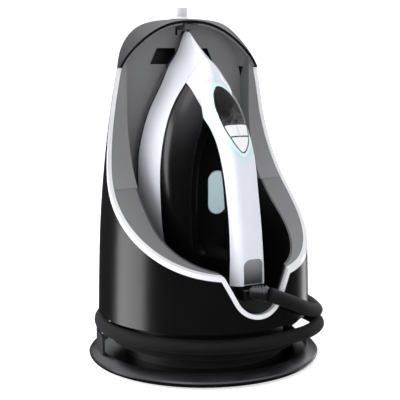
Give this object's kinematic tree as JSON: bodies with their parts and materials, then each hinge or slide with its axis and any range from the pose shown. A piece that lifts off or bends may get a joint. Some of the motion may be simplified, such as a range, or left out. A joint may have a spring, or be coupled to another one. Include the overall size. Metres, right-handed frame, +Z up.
{
  "type": "steam generator clothes iron with docking tower",
  "caption": "Clothes iron with a steam hose, docked nose up in a round tower that holds the water tank, generator and hose winding.",
  "frame": {"origin": "centre of the round base on the surface it stands on", "axes": "+Z up, -Y to the front where the iron leaves the tower, +X to the right seen from the front"},
  "size_m": [0.2564, 0.2549, 0.3785],
  "materials": {
    "gloss_black_casing": "gloss",
    "matte_grey_liner": "fine matte",
    "white_trim": "gloss",
    "white_knob": "gloss",
    "dark_grey_guard": "satin",
    "black_inner_plastic": "satin",
    "rubber": "matte",
    "steel_hardware": "zinc plated",
    "cast_aluminium": "as cast",
    "pump_plastic": "satin",
    "circuit_board": "satin",
    "clear_hose": "silicone",
    "gland_black": "gloss",
    "smoked_tank": "smoked gloss",
    "tank_valve": "satin",
    "braided_hose": "braided",
    "soleplate_steel": "polished",
    "surround_black": "satin",
    "white_body": "gloss",
    "black_cover": "gloss",
    "mint_plastic": "satin",
    "display_glass": "gloss",
    "white_keys": "satin",
    "grey_end_panel": "satin"
  },
  "bodies": {
    "tower": {"outer_shell": "gloss_black_casing", "hood": "gloss_black_casing", "foot_base": "gloss_black_casing", "pocket_collar": "matte_grey_liner", "back_liner": "matte_grey_liner", "opening_trim": "white_trim", "hose_guard_left": "dark_grey_guard", "hose_guard_rear": "dark_grey_guard", "pocket_well": "black_inner_plastic", "winding_drum": "black_inner_plastic", "deck_plate": "black_inner_plastic", "tank_bay_wall": "black_inner_plastic", "pump_bracket": "black_inner_plastic", "heel_rest": "black_inner_plastic", "tank_valve_seat": "black_inner_plastic", "rubber_feet": "rubber", "base_screws": "steel_hardware", "generator_heater": "steel_hardware", "generator_thermostat": "steel_hardware", "steam_generator": "cast_aluminium", "water_pump": "pump_plastic", "control_board": "circuit_board", "feed_pipe": "clear_hose", "steam_pipe": "clear_hose", "hose_gland": "gland_black", "mains_gland": "gland_black", "switch_bezel": "gland_black", "steam_hose": "braided_hose"},
    "iron": {"soleplate": "soleplate_steel", "sole_surround": "surround_black", "skirt": "white_body", "body_cover": "black_cover", "pilot_lens": "mint_plastic", "handle_shell": "white_body", "handle_grip": "black_cover", "handle_end_panel": "grey_end_panel", "panel_halo": "mint_plastic", "display_window": "display_glass", "key_board": "circuit_board", "trigger_switch": "circuit_board", "rear_bridge": "black_cover", "swivel_block": "gland_black", "strain_relief": "gland_black", "heating_block": "cast_aluminium", "heating_element": "steel_hardware", "steam_chamber_cover": "cast_aluminium", "iron_thermostat": "steel_hardware", "thermal_fuse": "steel_hardware", "iron_screws": "steel_hardware"},
    "tank": {"water_tank": "smoked_tank", "tank_valve": "tank_valve", "tank_seal": "rubber"},
    "key_left_cap": {"key_left": "white_keys"},
    "key_right_cap": {"key_right": "white_keys"},
    "key_lower_cap": {"key_lower": "white_keys"},
    "trigger": {"steam_trigger": "black_cover"},
    "lock_slider": {"lock_knob": "white_knob", "lock_catch": "matte_grey_liner"},
    "rocker": {"power_rocker": "gland_black"},
    "fill_door": {"tank_fill_door": "smoked_tank"}
  },
  "joints": [
    {"name": "iron_undock", "type": "slide", "parent": "tower", "child": "iron", "axis": [0, -0.9976, 0.0698], "range_m": [0, 0.2], "deforming": ["steam_hose"]},
    {"name": "key_left_press", "type": "slide", "parent": "iron", "child": "key_left_cap", "axis": [0, 0.7825, -0.6226], "range_m": [0, 0.001], "stiffness_N_per_m": 400, "springref_m": -0.0015},
    {"name": "key_right_press", "type": "slide", "parent": "iron", "child": "key_right_cap", "axis": [0, 0.7825, -0.6226], "range_m": [0, 0.001], "stiffness_N_per_m": 400, "springref_m": -0.0015},
    {"name": "key_lower_press", "type": "slide", "parent": "iron", "child": "key_lower_cap", "axis": [0, 0.7825, -0.6226], "range_m": [0, 0.001], "stiffness_N_per_m": 400, "springref_m": -0.0015},
    {"name": "trigger_pull", "type": "hinge", "parent": "iron", "child": "trigger", "pos_m": [0, -0.0615, 0.224], "axis": [-1, 0, 0], "range_deg": [0, 6], "stiffness_Nm_per_rad": 0.3, "springref_deg": -8.59},
    {"name": "lock_release", "type": "slide", "parent": "tower", "child": "lock_slider", "axis": [0, 1, 0], "range_m": [0, 0.006], "stiffness_N_per_m": 300, "springref_m": -0.003},
    {"name": "power_rock", "type": "hinge", "parent": "tower", "child": "rocker", "pos_m": [0.112, 0.012, 0.088], "axis": [0, -1, 0], "range_deg": [0, 12]},
    {"name": "tank_pull", "type": "slide", "parent": "tower", "child": "tank", "axis": [0, 1, 0], "range_m": [0, 0.12]},
    {"name": "fill_door_open", "type": "hinge", "parent": "tank", "child": "fill_door", "pos_m": [0, 0.0991, 0.2743], "axis": [-1, 0, 0], "range_deg": [0, 80]}
  ]
}
